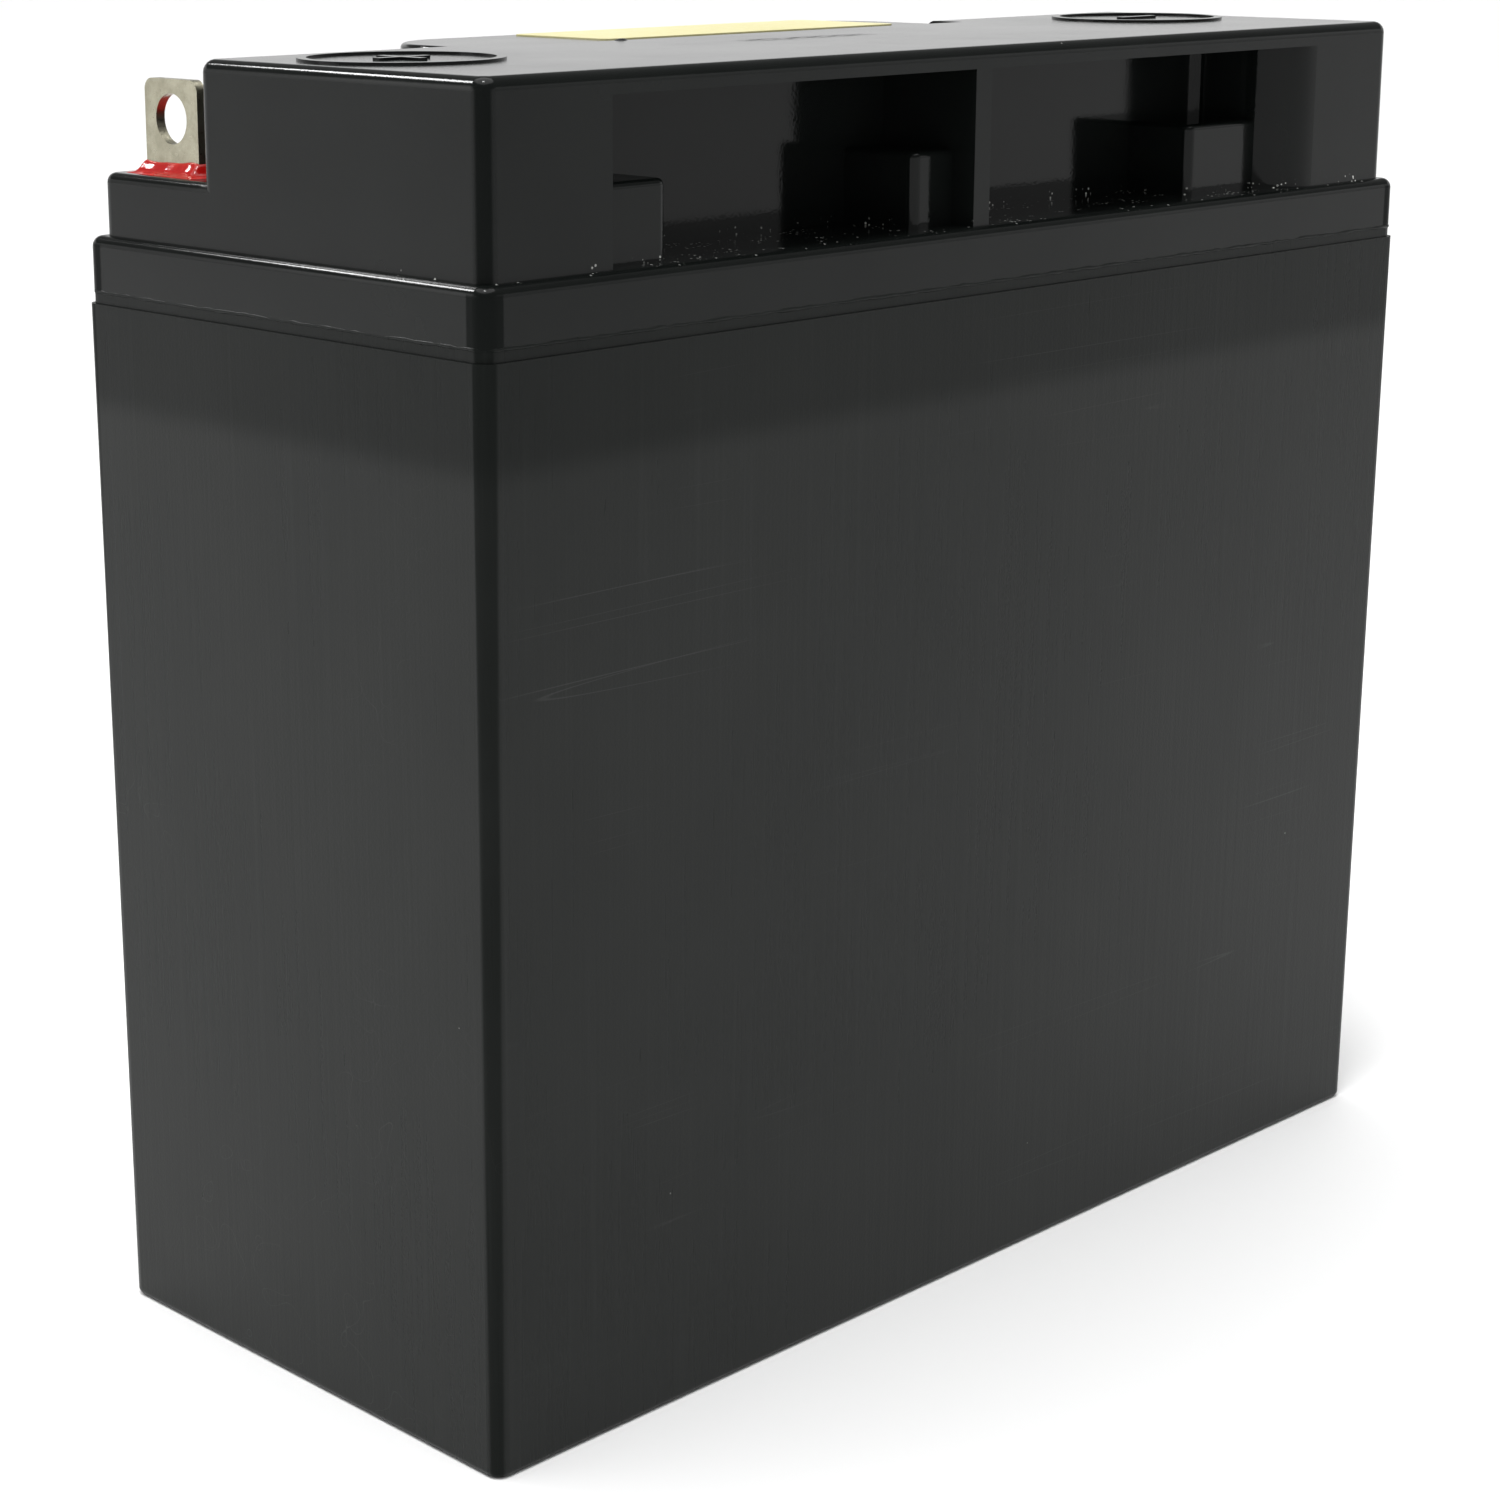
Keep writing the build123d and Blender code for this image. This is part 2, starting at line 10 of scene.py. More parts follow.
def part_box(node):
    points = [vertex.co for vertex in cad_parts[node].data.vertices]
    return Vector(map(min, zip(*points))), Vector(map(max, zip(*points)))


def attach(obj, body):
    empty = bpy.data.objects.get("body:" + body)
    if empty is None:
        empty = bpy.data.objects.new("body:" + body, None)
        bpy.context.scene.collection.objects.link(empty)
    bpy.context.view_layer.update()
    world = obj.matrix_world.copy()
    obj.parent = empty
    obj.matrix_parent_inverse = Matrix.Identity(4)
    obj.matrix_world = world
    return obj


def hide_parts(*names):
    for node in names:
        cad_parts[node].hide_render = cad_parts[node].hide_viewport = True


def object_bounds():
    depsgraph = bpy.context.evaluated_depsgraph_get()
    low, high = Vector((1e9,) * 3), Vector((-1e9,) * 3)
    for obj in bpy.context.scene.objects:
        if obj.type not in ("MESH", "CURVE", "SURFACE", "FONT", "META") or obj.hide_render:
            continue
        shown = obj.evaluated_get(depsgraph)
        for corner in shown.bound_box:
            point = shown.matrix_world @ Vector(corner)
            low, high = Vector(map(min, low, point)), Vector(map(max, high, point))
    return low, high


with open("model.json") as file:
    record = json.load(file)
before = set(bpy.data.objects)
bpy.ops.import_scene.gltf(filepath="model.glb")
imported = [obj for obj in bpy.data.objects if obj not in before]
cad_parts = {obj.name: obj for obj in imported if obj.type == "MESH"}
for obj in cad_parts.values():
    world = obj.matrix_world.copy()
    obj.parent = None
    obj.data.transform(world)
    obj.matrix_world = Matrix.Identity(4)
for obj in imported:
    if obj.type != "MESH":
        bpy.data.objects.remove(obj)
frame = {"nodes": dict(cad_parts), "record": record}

CAD_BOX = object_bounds()
MM = 0.001

# Heights and places on the moulding, in metres. The pole marks stand above the lid's flat top.
LID_TOP = 167.0 * MM
LEDGE = 144.3 * MM
SHELF = 152.2 * MM
LID_FRONT_Y = -36.2 * MM
RECESS_BACK_Y = -20.5 * MM
RECESSES_X = (-70.5 * MM, 66.0 * MM)
NOTCH_Y = (15.8 * MM, 40.0 * MM)
TAB_THICK = 1.3 * MM

# Where the upright corners begin to round: half the length and half the width between them.
CASE_CORNER = (88.6 * MM, 35.8 * MM)
LID_CORNER = (87.2 * MM, 34.6 * MM)

# The height from which the case's top band is darkened as painted shade, and where that painted
# shade is full.
SHADE_BAND_Z = (120.0 * MM, 126.0 * MM)

# The lid's rounded upper edges, as bands of height: round the flat top, the ledge and the shelf.
TOP_EDGE_Z = (LID_TOP - 1.4 * MM, LID_TOP + 1.0 * MM)
LEDGE_EDGE_Z = (LEDGE - 1.0 * MM, LEDGE - 0.1 * MM)
SHELF_EDGE_Z = (SHELF - 1.0 * MM, SHELF + 0.1 * MM)

# The patch of the lid's top that has been scuffed.
SCUFF_X = (-14.0 * MM, 9.0 * MM)
SCUFF_Y = (-6.5 * MM, -3.0 * MM)

# Resin round the tabs: how high its ridge stands and how far it reaches, each with its unevenness.
RIDGE_HEIGHT = 1.35 * MM
RIDGE_HEIGHT_CHANGE = 0.35 * MM
RIDGE_REACH = 1.0 * MM
RIDGE_REACH_CHANGE = 0.25 * MM
RIDGE_END_TAPER = 1.8
POOL_SKIN = 0.16 * MM
POOL_SKIN_EDGE = 0.8 * MM
POOL_SINK = 0.05 * MM

# The plastic squeezed out at the seam.
BEAD_INSET = 0.12 * MM
BEAD_CORNER = 2.0 * MM
BEAD_STEP = 1.2 * MM
BEAD_THICK = (0.16 * MM, 0.30 * MM)
BEAD_LIFT = 0.06 * MM
BEAD_SIDES = 6

# The drop of adhesive in front of the vent cover.
GLUE_PLACE = Vector((-24 * MM, 8.8 * MM, LID_TOP - 0.5 * MM))
GLUE_SIZE = (1.5 * MM, 0.9 * MM, 0.72 * MM)
GLUE_UNEVEN = 0.10

TAB_EDGE = 0.16 * MM

# The studio: the walls' grey at each height, which is the sine of the angle above the horizon.
FLOOR_HALF = 14.0
CEILING_STRENGTH = 2.6
HORIZON_GREY = 0.27
WALL_GREYS = ((0.10, 0.31), (0.28, 0.42), (0.36, 0.09), (0.76, 0.10))
CEILING_EDGE = 0.84

# The view: where the camera stands, and how it is turned, in degrees.
CAMERA_PLACE = Vector((-0.32139, -0.29777, 0.18874))
CAMERA_AZIMUTH = -43.710
CAMERA_ELEVATION = 13.772
CAMERA_ROLL = -0.209
CAMERA_LENS = 76.306
CAMERA_SHIFT = (0.1, -0.0667)
SENSOR_WIDTH = 36.0


# ------------------------------------------------------------------ materials

class Finish:
    """One procedural material, with short calls for the nodes it is made of."""

    def __init__(self, name, **settings):
        self.material = bpy.data.materials.new(name)
        self.material.use_nodes = True
        self.tree = self.material.node_tree
        self.shader = self.tree.nodes["Principled BSDF"]
        for socket, value in settings.items():
            self.shader.inputs[socket.replace("_", " ")].default_value = value
        self.place = self.tree.nodes.new("ShaderNodeTexCoord").outputs["Object"]

    def node(self, kind, inputs=None, **settings):
        made = self.tree.nodes.new(kind)
        for key, value in settings.items():
            setattr(made, key, value)
        for key, value in (inputs or {}).items():
            if isinstance(value, bpy.types.NodeSocket):
                self.tree.links.new(value, made.inputs[key])
            else:
                made.inputs[key].default_value = value
        return made

    def stretched(self, scale, turn=(0, 0, 0)):
        """The object's own coordinates, turned and then scaled along each axis."""
        mapping = self.node(
            "ShaderNodeMapping",
            {"Vector": self.place, "Rotation": turn, "Scale": scale},
        )
        return mapping.outputs["Vector"]

    def noise(self, scale, detail=3.0, rough=0.5, place=None):
        """Cloudy noise from 0 to 1, with scale features to the metre."""
        made = self.node(
            "ShaderNodeTexNoise",
            {"Vector": place or self.place, "Scale": scale, "Detail": detail, "Roughness": rough},
        )
        return made.outputs["Fac"]

    def cells(self, scale):
        """Distance to the nearest of many scattered points."""
        made = self.node("ShaderNodeTexVoronoi", {"Vector": self.place, "Scale": scale})
        return made.outputs["Distance"]

    def between(self, value, low, high, out_low=0.0, out_high=1.0):
        """value mapped smoothly from low..high to out_low..out_high."""
        made = self.node(
            "ShaderNodeMapRange",
            {"Value": value, "From Min": low, "From Max": high,
             "To Min": out_low, "To Max": out_high},
            interpolation_type="SMOOTHSTEP",
        )
        return made.outputs["Result"]

    def maths(self, how, first, second=0.0):
        """The result of one arithmetic node."""
        made = self.node("ShaderNodeMath", {0: first, 1: second}, operation=how)
        return made.outputs["Value"]

    def times(self, first, second):
        return self.maths("MULTIPLY", first, second)

    def plus(self, first, second):
        return self.maths("ADD", first, second)

    def colour(self, factor, first, second):
        """A colour between first and second."""
        made = self.node("ShaderNodeMix", {"Factor": factor}, data_type="RGBA")
        for index, value in ((6, first), (7, second)):
            if isinstance(value, bpy.types.NodeSocket):
                self.tree.links.new(value, made.inputs[index])
            else:
                made.inputs[index].default_value = (*value, 1.0)
        return made.outputs[2]

    def axis(self, name):
        """One of the object's coordinates, in metres."""
        return self.node("ShaderNodeSeparateXYZ", {"Vector": self.place}).outputs[name]

    def inside(self, name, low, high, soft=0.4 * MM):
        """1 where that coordinate lies between low and high."""
        coordinate = self.axis(name)
        above = self.between(coordinate, low - soft, low + soft)
        below = self.between(coordinate, high + soft, high - soft)
        return self.times(above, below)

    def bump(self, height, strength, distance, under=None):
        """A surface normal tilted by height, on top of the normal under."""
        inputs = {"Height": height, "Strength": strength, "Distance": distance}
        if under is not None:
            inputs["Normal"] = under
        return self.node("ShaderNodeBump", inputs).outputs["Normal"]

    def set(self, socket, value):
        """Links a node's output to one of the shader's sockets."""
        self.tree.links.new(value, self.shader.inputs[socket])


def scratches(finish, turn, spacing, length, width, seed):
    """A mask of thin straight scratches lying along one direction."""
    place = finish.stretched((1 / length, 1 / spacing, 1 / spacing), turn)
    shifted = finish.node("ShaderNodeVectorMath", {0: place, 1: (seed, seed * 2, seed * 3)})
    lines = finish.noise(1.0, 0.0, 0.5, shifted.outputs["Vector"])
    near = finish.maths("ABSOLUTE", finish.maths("SUBTRACT", lines, 0.60))
    thin = finish.between(near, width, 0.0)
    worn = finish.between(finish.noise(26.0, 2.0), 0.50, 0.64)
    return finish.times(thin, worn)


def specks(finish, spacing, size, share):
    """A mask of small round dust specks, in scattered patches."""
    dots = finish.between(finish.cells(1 / spacing), size, size * 0.5)
    patches = finish.between(finish.noise(0.31 / spacing, 1.0), 1.0 - share, 1.02 - share)
    return finish.times(dots, patches)


def case_plastic():
    finish = Finish("case_plastic", IOR=1.25)
    broad = finish.noise(14.0, 4.0, 0.6)
    drag = finish.noise(1.0, 3.0, 0.6, finish.stretched((900, 900, 14)))
    grain = finish.noise(2600.0, 2.0)
    patchy = finish.between(broad, 0.3, 0.7)
    base = finish.colour(patchy, (0.0085, 0.0098, 0.0090), (0.0125, 0.0140, 0.0130))
    base = finish.colour(finish.between(drag, 0.55, 0.75, 0.0, 0.25), base, (0.022, 0.024, 0.023))
    # painted shade: the case's top band below the flange is darkened and made to shine less,
    # standing in for the darker top of the lit face
    painted_shade_band = finish.between(finish.axis("Z"), *SHADE_BAND_Z)
    base = finish.colour(finish.times(painted_shade_band, 0.35), base, (0.006, 0.007, 0.0065))
    left = scratches(finish, (0.9, 0.0, 0.0), 0.006, 0.30, 0.0030, 3.0)
    right = scratches(finish, (0.0, 0.35, 0.0), 0.007, 0.40, 0.0025, 7.0)
    marks = finish.maths("MAXIMUM", left, right)
    base = finish.colour(finish.times(marks, 0.30), base, (0.07, 0.073, 0.071))
    dust = specks(finish, 0.0058, 0.030, 0.40)
    base = finish.colour(finish.times(dust, 0.6), base, (0.40, 0.40, 0.38))
    finish.set("Base Color", base)
    rough = finish.between(broad, 0.2, 0.8, 0.26, 0.36)
    finish.set("Roughness", finish.plus(rough, finish.between(drag, 0.3, 0.8, -0.03, 0.05)))
    # painted shade: the top band shines less, as part of the same painted shade
    shade_band_shine = finish.between(painted_shade_band, 0.0, 1.0, 1.0, 0.62)
    # painted reflection: the upright corners shine less, standing in for the dark surroundings they
    # mirror
    finish.set("Specular IOR Level", finish.times(painted_dark_corners(finish, *CASE_CORNER), shade_band_shine))
    height = finish.plus(finish.times(grain, 0.5), finish.times(drag, 0.7))
    sink = finish.bump(finish.noise(30.0, 2.0), 0.08, 0.002)
    finish.set("Normal", finish.bump(height, 0.10, 0.0003, sink))
    return finish.material


def painted_dark_corners(finish, half_x, half_y):
    """Specular level: the upright corners shine less than the faces, a painted dark reflection
    standing in for the dark surroundings they mirror.
    """
    past = []
    for name, half in (("X", half_x), ("Y", half_y)):
        from_middle = finish.maths("ABSOLUTE", finish.axis(name))
        past.append(finish.between(from_middle, half - 0.2 * MM, half + 0.4 * MM))
    return finish.between(finish.times(*past), 0.0, 1.0, 0.5, 0.12)


def crumbs(finish):
    """A mask of bright plastic crumbs caught along the recess floors and the flange."""
    low = finish.inside("Z", LEDGE - 0.3 * MM, LEDGE + 0.9 * MM, 0.3 * MM)
    row = finish.inside("Y", LID_FRONT_Y - 0.6 * MM, RECESS_BACK_Y + 0.5 * MM)
    bits = finish.between(finish.cells(1300.0), 0.26, 0.16)
    patches = finish.between(finish.noise(260.0, 2.0, 0.6), 0.52, 0.60)
    return finish.times(finish.times(low, row), finish.times(bits, patches))


def lid_plastic(name="lid_plastic"):
    finish = Finish(name, IOR=1.26)
    broad = finish.noise(22.0, 4.0, 0.6)
    grain = finish.noise(2200.0, 2.0)
    patchy = finish.between(broad, 0.3, 0.7)
    base = finish.colour(patchy, (0.0035, 0.0043, 0.0040), (0.0055, 0.0066, 0.0061))
    scuff_x = finish.inside("X", *SCUFF_X, 3.0 * MM)
    scuff_y = finish.inside("Y", *SCUFF_Y, 0.8 * MM)
    on_top = finish.inside("Z", LID_TOP - 0.2 * MM, LID_TOP + 0.4 * MM)
    rub = finish.between(finish.noise(1.0, 4.0, 0.7, finish.stretched((350, 2600, 1))), 0.45, 0.60)
    scuff = finish.times(finish.times(finish.times(scuff_x, scuff_y), on_top), rub)
    dust = specks(finish, 0.0066, 0.034, 0.35)
    base = finish.colour(finish.times(dust, 0.6), base, (0.40, 0.40, 0.38))
    base = finish.colour(crumbs(finish), base, (0.62, 0.63, 0.60))
    finish.set("Base Color", base)
    # the mould's cores polished the recesses; outside, the top and the rounded edges are smooth
    # and the walls are satin
    recess_y = finish.inside("Y", LID_FRONT_Y + 0.7 * MM, RECESS_BACK_Y + 1.0 * MM)
    cored = finish.times(recess_y, finish.inside("X", *RECESSES_X))
    under_top = finish.between(finish.axis("Z"), LID_TOP - 1.5 * MM, LID_TOP - 2.5 * MM)
    cored = finish.times(cored, under_top)
    top_edge = finish.inside("Z", *TOP_EDGE_Z)
    rounded = finish.maths("MAXIMUM", top_edge, finish.inside("Z", *LEDGE_EDGE_Z))
    shelf_edge = finish.times(finish.inside("Z", *SHELF_EDGE_Z), finish.inside("Y", *NOTCH_Y))
    smooth = finish.maths("MAXIMUM", rounded, shelf_edge)
    outside = finish.between(smooth, 0.0, 1.0, 0.24, 0.10)
    rough = finish.node("ShaderNodeMix", {0: cored, 2: outside, 3: 0.07}).outputs[0]
    rough = finish.plus(rough, finish.between(broad, 0.3, 0.8, -0.02, 0.05))
    finish.set("Roughness", finish.plus(rough, finish.times(scuff, 0.5)))
    # painted dark reflection on the upright corners; the rounded edges stay bright right round the
    # corners
    corners = painted_dark_corners(finish, *LID_CORNER)
    finish.set("Specular IOR Level", finish.maths("MAXIMUM", corners, finish.times(rounded, 0.5)))
    sink = finish.bump(finish.noise(38.0, 2.0), 0.05, 0.002)
    finish.set("Normal", finish.bump(finish.times(grain, 0.6), 0.05, 0.0003, sink))
    return finish.material


def tinned_metal():
    finish = Finish("tinned_terminal", Metallic=1.0)
    blotch = finish.noise(420.0, 5.0, 0.65)
    fine = finish.noise(2600.0, 3.0, 0.6)
    pits = finish.between(finish.cells(1500.0), 0.10, 0.04)
    base = finish.colour(finish.between(blotch, 0.3, 0.7), (0.29, 0.275, 0.205), (0.39, 0.37, 0.285))
    worn = finish.between(blotch, 0.5, 0.65)
    base = finish.colour(finish.times(pits, worn), base, (0.12, 0.105, 0.08))
    finish.set("Base Color", base)
    finish.set("Roughness", finish.between(fine, 0.25, 0.8, 0.26, 0.44))
    finish.set("Normal", finish.bump(finish.plus(fine, finish.times(blotch, 1.5)), 0.25, 0.0002))
    return finish.material


def resin(name, deep, pale):
    finish = Finish(name, IOR=1.33)
    cloud = finish.noise(330.0, 4.0, 0.6)
    finish.set("Base Color", finish.colour(finish.between(cloud, 0.42, 0.70), deep, pale))
    finish.set("Roughness", finish.between(cloud, 0.3, 0.8, 0.08, 0.16))
    finish.set("Normal", finish.bump(finish.noise(520.0, 2.0), 0.12, 0.0004))
    return finish.material


def label_film():
    finish = Finish("label_film", IOR=1.48)
    fibre = finish.noise(900.0, 3.0, 0.6)
    fade = finish.noise(40.0, 3.0)
    base = finish.colour(finish.between(fade, 0.3, 0.7), (0.62, 0.57, 0.25), (0.68, 0.63, 0.33))
    finish.set("Base Color", base)
    finish.set("Roughness", finish.between(fibre, 0.3, 0.7, 0.30, 0.42))
    finish.set("Normal", finish.bump(fibre, 0.08, 0.0002))
    return finish.material


def rubber():
    finish = Finish("valve_rubber", IOR=1.5)
    grain = finish.noise(1800.0, 4.0, 0.6)
    finish.set("Base Color", finish.colour(grain, (0.018, 0.018, 0.018), (0.035, 0.034, 0.033)))
    finish.set("Roughness", finish.between(grain, 0.3, 0.7, 0.62, 0.8))
    finish.set("Normal", finish.bump(grain, 0.2, 0.0002))
    return finish.material


def lead(name, dark, light, roughness):
    finish = Finish(name, Metallic=0.55)
    cloud = finish.noise(240.0, 5.0, 0.65)
    grain = finish.noise(1500.0, 3.0, 0.6)
    finish.set("Base Color", finish.colour(finish.between(cloud, 0.3, 0.7), dark, light))
    finish.set("Roughness", finish.between(grain, 0.2, 0.8, roughness - 0.08, roughness + 0.1))
    finish.set("Normal", finish.bump(grain, 0.3, 0.0003))
    return finish.material


def pasted_plate(name, paste, wire):
    """Paste pressed into a lead grid, whose wires show through as a faint net."""
    finish = Finish(name)
    grain = finish.noise(1100.0, 5.0, 0.7)
    rows = finish.between(finish.maths("PINGPONG", finish.axis("Z"), 0.003), 0.0004, 0.0)
    bars = finish.between(finish.maths("PINGPONG", finish.axis("Y"), 0.004), 0.0004, 0.0)
    net = finish.maths("MAXIMUM", rows, bars)
    base = finish.colour(finish.between(grain, 0.3, 0.7), paste, [c * 1.5 for c in paste])
    finish.set("Base Color", finish.colour(finish.times(net, 0.6), base, wire))
    finish.set("Roughness", finish.between(grain, 0.3, 0.7, 0.75, 0.92))
    finish.set("Normal", finish.bump(finish.plus(grain, net), 0.3, 0.0003))
    return finish.material


def glass_mat():
    finish = Finish("glass_mat")
    fibre = finish.noise(1.0, 5.0, 0.7, finish.stretched((900, 3500, 900)))
    finish.set("Base Color", finish.colour(fibre, (0.74, 0.74, 0.71), (0.92, 0.92, 0.90)))
    finish.set("Roughness", finish.between(fibre, 0.3, 0.7, 0.85, 0.97))
    finish.set("Normal", finish.bump(fibre, 0.5, 0.0003))
    return finish.material


def dress(name, material):
    """Gives a CAD node its material."""
    mesh = frame["nodes"][name].data
    mesh.materials.clear()
    mesh.materials.append(material)


MATERIALS = {
    "case_plastic": case_plastic(),
    "lid_plastic": lid_plastic(),
    "inner_plastic": lid_plastic("inner_plastic"),
    "label_film": label_film(),
    "valve_rubber": rubber(),
    "red_epoxy": resin("red_epoxy", (0.36, 0.006, 0.005), (0.58, 0.035, 0.025)),
    "black_epoxy": resin("black_epoxy", (0.010, 0.010, 0.011), (0.022, 0.022, 0.024)),
    "tinned_terminal": tinned_metal(),
    "positive_paste": pasted_plate("positive_paste", (0.055, 0.026, 0.016), (0.20, 0.19, 0.18)),
    "negative_paste": pasted_plate("negative_paste", (0.16, 0.17, 0.18), (0.34, 0.35, 0.37)),
    "glass_mat": glass_mat(),
    "lead": lead("lead", (0.25, 0.26, 0.28), (0.42, 0.43, 0.45), 0.45),
}
for part in frame["record"]["subparts"]:
    dress(part["node"], MATERIALS[part["material_slot"]])


# ------------------------------------------------------------------ pieces

def new_piece(name, slot, build):
    """A piece of that material slot, whose mesh build(bm) makes. It rides on the battery itself."""
    bm = bmesh.new()
    build(bm)
    bmesh.ops.recalc_face_normals(bm, faces=bm.faces)
    mesh = bpy.data.meshes.new(name)
    bm.to_mesh(mesh)
    bm.free()
    for polygon in mesh.polygons:
        polygon.use_smooth = True
    mesh.materials.append(MATERIALS[slot])
    piece = bpy.data.objects.new(name, mesh)
    bpy.context.collection.objects.link(piece)
    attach(piece, "battery")
    return piece


def soften(node, width):
    """Rounds a CAD node's sharp edges slightly, so that they catch the light."""
    shape = frame["nodes"][node]
    bevel = shape.modifiers.new("soft edges", "BEVEL")
    bevel.width = width
    bevel.segments = 3
    bevel.limit_method = "ANGLE"
    bevel.angle_limit = math.radians(30.0)
    bevel.harden_normals = False


def resin_pool(bm, pole, chance):
    """Potting resin round a terminal tab: a flat pool with a raised, uneven ridge on the metal."""
    low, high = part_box(pole + "_seal")
    tab_low, tab_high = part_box(pole + "_terminal")
    if pole == "positive":
        tab_x = (tab_low.x, tab_low.x + TAB_THICK)
    else:
        tab_x = (tab_high.x - TAB_THICK, tab_high.x)
    bumps = [(chance.uniform(0.4, 1.6), chance.uniform(0, 6.28)) for _ in range(4)]
    across, along = 56, 60
    rows = []
    for i in range(across + 1):
        row = []
        x = low.x + (high.x - low.x) * i / across
        for j in range(along + 1):
            y = low.y + (high.y - low.y) * j / along
            away_x = max(tab_x[0] - x, x - tab_x[1], 0.0)
            away_y = max(tab_low.y - y, y - tab_high.y, 0.0)
            away = math.hypot(away_x, RIDGE_END_TAPER * away_y)
            wave = sum(math.sin(rate * y / MM + start) for rate, start in bumps) / len(bumps)
            crest = RIDGE_HEIGHT + RIDGE_HEIGHT_CHANGE * wave
            reach = RIDGE_REACH + RIDGE_REACH_CHANGE * wave
            ridge = crest * math.exp(-(away / reach) ** 2)
            edge = min(x - low.x, high.x - x, y - low.y, high.y - y)
            skin = POOL_SKIN * min(1.0, edge / POOL_SKIN_EDGE)
            row.append(bm.verts.new((x, y, SHELF - POOL_SINK + skin + ridge)))
        rows.append(row)
    for i in range(across):
        for j in range(along):
            bm.faces.new((rows[i][j], rows[i + 1][j], rows[i + 1][j + 1], rows[i][j + 1]))
    # sides and underside, down to the bottom of the well
    rim = [(i, 0) for i in range(across)] + [(across, j) for j in range(along)]
    rim += [(i, along) for i in range(across, 0, -1)] + [(0, j) for j in range(along, 0, -1)]
    top = [rows[i][j] for i, j in rim]
    foot = [bm.verts.new((v.co.x, v.co.y, low.z)) for v in top]
    for k, spot in enumerate(top):
        after = (k + 1) % len(top)
        bm.faces.new((spot, foot[k], foot[after], top[after]))
    bm.faces.new(foot)


def weld_bead(bm, chance):
    """The uneven line of plastic squeezed out where the lid is welded to the case."""
    low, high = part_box("lid")
    half_x = high.x - BEAD_INSET
    half_y = high.y - BEAD_INSET
    path = []
    for sx, sy, start in ((1, 1, 0), (-1, 1, 90), (-1, -1, 180), (1, -1, 270)):
        for step in range(9):
            angle = math.radians(start + 90 * step / 8)
            path.append(Vector((
                sx * (half_x - BEAD_CORNER) + BEAD_CORNER * math.cos(angle),
                sy * (half_y - BEAD_CORNER) + BEAD_CORNER * math.sin(angle),
                low.z,
            )))
    dense = []
    for k, spot in enumerate(path):
        after = path[(k + 1) % len(path)]
        steps = max(1, int((after - spot).length / BEAD_STEP))
        dense += [spot.lerp(after, t / steps) for t in range(steps)]
    rings = []
    for k, spot in enumerate(dense):
        before = dense[k - 1]
        after = dense[(k + 1) % len(dense)]
        out = (after - before).cross(Vector((0, 0, 1))).normalized()
        thick = chance.uniform(*BEAD_THICK)
        lift = chance.uniform(-BEAD_LIFT, BEAD_LIFT)
        ring = []
        for side in range(BEAD_SIDES):
            angle = 2 * math.pi * side / BEAD_SIDES
            raised = Vector((0, 0, lift + thick * math.sin(angle)))
            ring.append(bm.verts.new(spot + out * thick * math.cos(angle) + raised))
        rings.append(ring)
    for k, ring in enumerate(rings):
        following = rings[(k + 1) % len(rings)]
        for side in range(BEAD_SIDES):
            after = (side + 1) % BEAD_SIDES
            bm.faces.new((ring[side], ring[after], following[after], following[side]))


def glue_blob(bm, chance):
    """A drop of set adhesive in the groove in front of the vent cover."""
    bmesh.ops.create_icosphere(bm, subdivisions=3, radius=1.0)
    for vert in bm.verts:
        swell = 1.0 + GLUE_UNEVEN * chance.uniform(-1, 1)
        length, width, height = GLUE_SIZE
        vert.co = GLUE_PLACE + Vector((
            vert.co.x * length * swell,
            vert.co.y * width * swell,
            vert.co.z * height,
        ))


def build_pieces():
    chance = random.Random(7)
    red = new_piece("positive_resin", "red_epoxy", lambda bm: resin_pool(bm, "positive", chance))
    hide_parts("positive_seal")
    black = new_piece("negative_resin", "black_epoxy", lambda bm: resin_pool(bm, "negative", chance))
    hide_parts("negative_seal")
    new_piece("weld_bead", "case_plastic", lambda bm: weld_bead(bm, chance))
    new_piece("glue_blob", "lid_plastic", lambda bm: glue_blob(bm, chance))
    for terminal in ("positive_terminal", "negative_terminal"):
        soften(terminal, TAB_EDGE)


# ------------------------------------------------------------------ stage, lights and camera

def floor():
    """A plain pale floor under the battery."""
    finish = Finish("floor", Roughness=0.6)
    cloud = finish.noise(3.0)
    finish.set("Base Color", finish.colour(cloud, (0.90, 0.90, 0.90), (0.92, 0.92, 0.92)))
    mesh = bpy.data.meshes.new("floor")
    signs = ((-1, -1), (1, -1), (1, 1), (-1, 1))
    corners = [(FLOOR_HALF * sx, FLOOR_HALF * sy, 0) for sx, sy in signs]
    mesh.from_pydata(corners, [], [(0, 1, 2, 3)])
    mesh.materials.append(finish.material)
    plane = bpy.data.objects.new("floor", mesh)
    bpy.context.collection.objects.link(plane)
    plane.location.z = CAD_BOX[0].z


def soft_light(name, place, aim, width, height, watts):
    """A rectangular lamp of that size in metres, turned towards aim."""
    data = bpy.data.lights.new(name, "AREA")
    data.shape = "RECTANGLE"
    data.size = width
    data.size_y = height
    data.energy = watts
    lamp = bpy.data.objects.new(name, data)
    lamp.location = place
    lamp.rotation_euler = (Vector(aim) - Vector(place)).to_track_quat("-Z", "Y").to_euler()
    bpy.context.collection.objects.link(lamp)


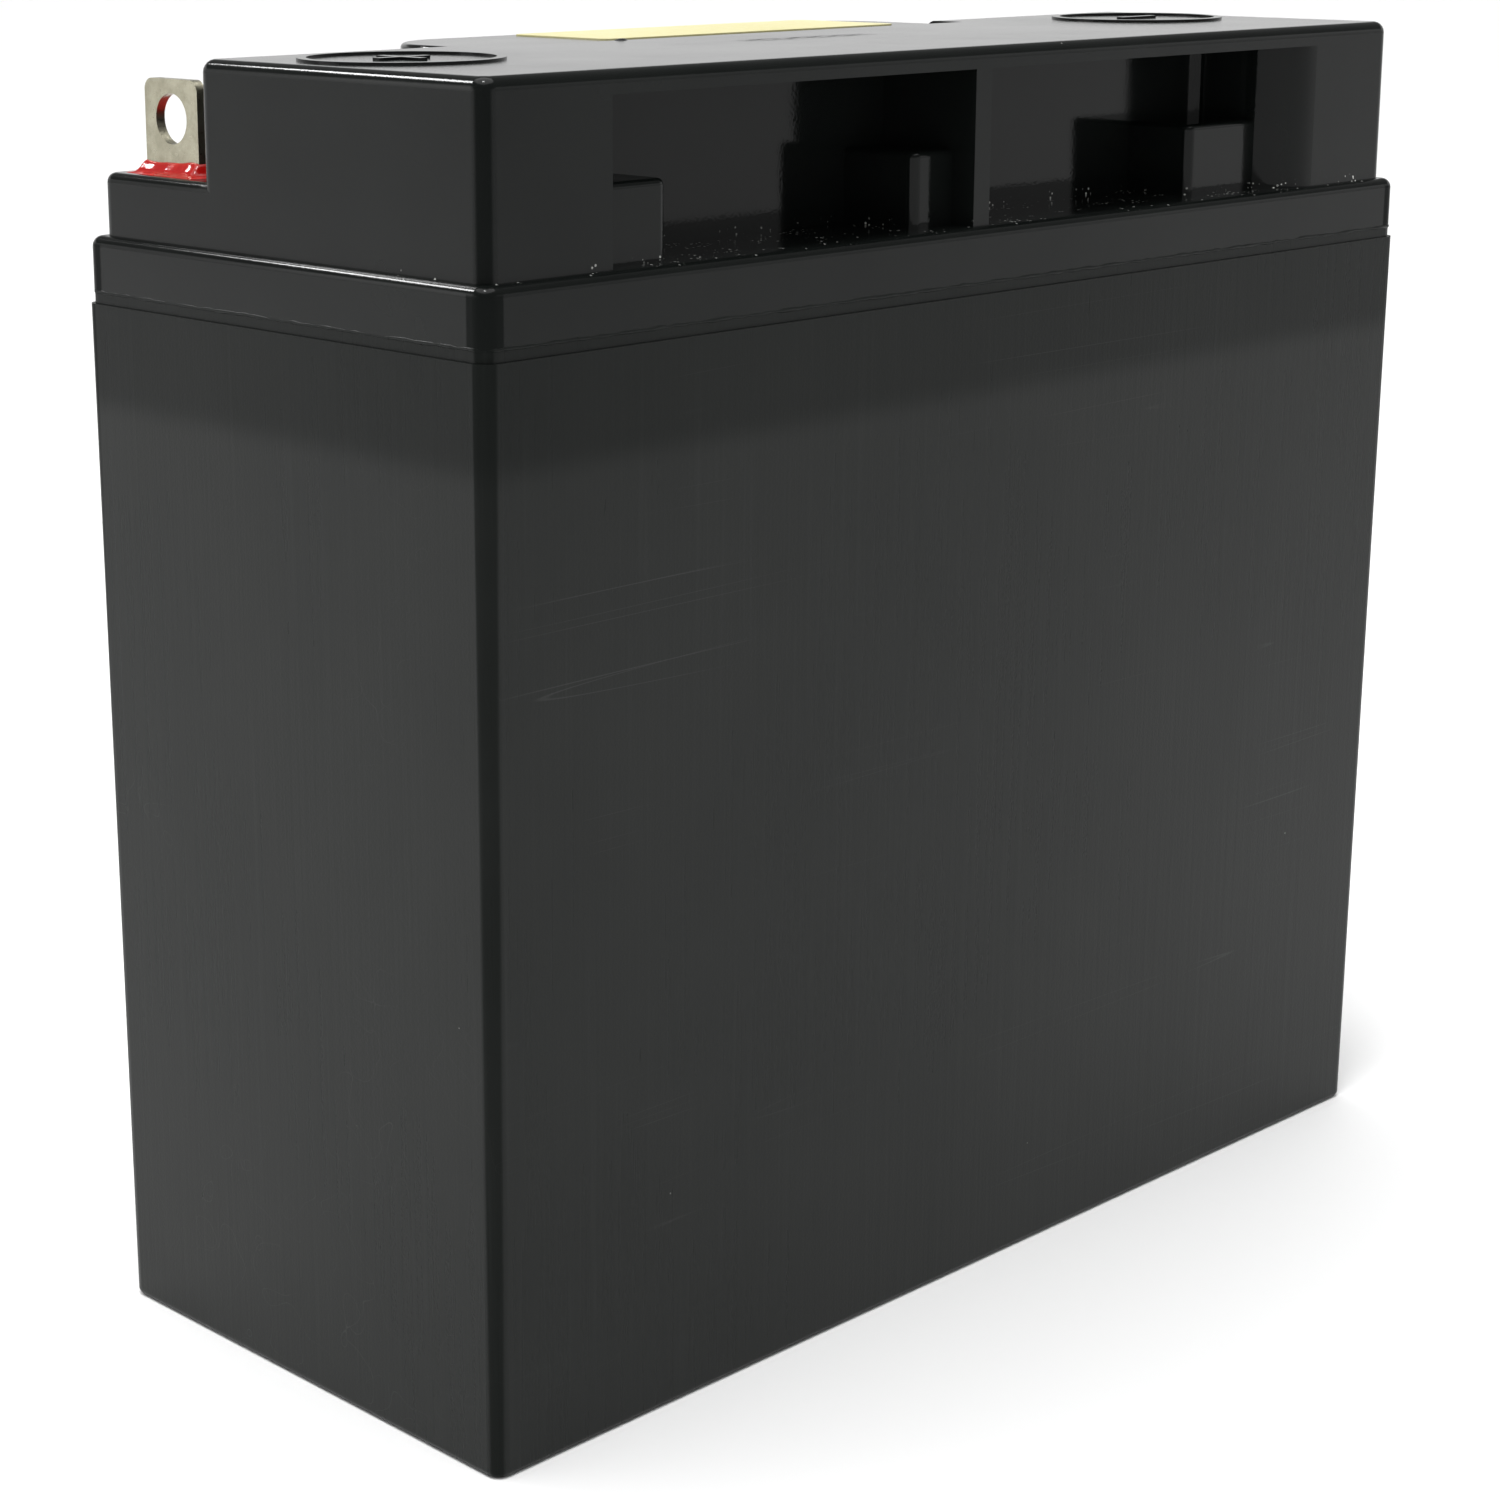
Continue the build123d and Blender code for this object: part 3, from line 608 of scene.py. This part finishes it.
def room():
    """A broad bright ceiling, a pale backdrop low down, and dark walls between the two."""
    world = bpy.data.worlds.new("studio")
    bpy.context.scene.world = world
    world.use_nodes = True
    nodes = world.node_tree.nodes
    split = nodes.new("ShaderNodeSeparateXYZ")
    wall = nodes.new("ShaderNodeValToRGB")
    ramp = wall.color_ramp.elements
    for height, grey in WALL_GREYS:
        ramp.new(height).color = (grey, grey, grey, 1.0)
    ramp[0].color = (HORIZON_GREY, HORIZON_GREY, HORIZON_GREY, 1.0)
    ramp[-1].position = CEILING_EDGE
    nodes["Background"].inputs["Strength"].default_value = CEILING_STRENGTH
    link = world.node_tree.links.new
    link(nodes.new("ShaderNodeTexCoord").outputs["Generated"], split.inputs["Vector"])
    link(split.outputs["Z"], wall.inputs["Fac"])
    link(wall.outputs["Color"], nodes["Background"].inputs["Color"])


def lights():
    """A small lamp overhead for sparkle, a long one for the edges and a soft one at the left."""
    room()
    soft_light("sparkle", (-0.25, -0.15, 1.2), (0, 0, 0.1), width=0.16, height=0.16, watts=4.5)
    soft_light("edge", (-0.5, 1.4, 1.35), (0, 0, 0.1), width=0.55, height=0.14, watts=9)
    soft_light("left", (-1.0, 0.75, 0.45), (0, 0, 0.05), width=0.6, height=0.6, watts=1.5)


def camera():
    """The camera, turned by its azimuth and elevation and then rolled about its own axis."""
    azimuth = math.radians(CAMERA_AZIMUTH)
    elevation = math.radians(CAMERA_ELEVATION)
    roll = math.radians(CAMERA_ROLL)
    back = Vector((
        math.sin(azimuth) * math.cos(elevation),
        -math.cos(azimuth) * math.cos(elevation),
        math.sin(elevation),
    ))
    right = Vector((0, 0, 1)).cross(back).normalized()
    up = back.cross(right)
    turned_right = right * math.cos(roll) + up * math.sin(roll)
    turned_up = up * math.cos(roll) - right * math.sin(roll)
    data = bpy.data.cameras.new("camera")
    data.lens = CAMERA_LENS
    data.sensor_width = SENSOR_WIDTH
    data.shift_x, data.shift_y = CAMERA_SHIFT
    view = bpy.data.objects.new("camera", data)
    view.matrix_world = Matrix.Translation(CAMERA_PLACE) @ Matrix(
        (turned_right, turned_up, back)
    ).transposed().to_4x4()
    bpy.context.collection.objects.link(view)
    bpy.context.scene.camera = view


build_pieces()
floor()
lights()
camera()
bpy.context.scene.view_settings.view_transform = "Standard"
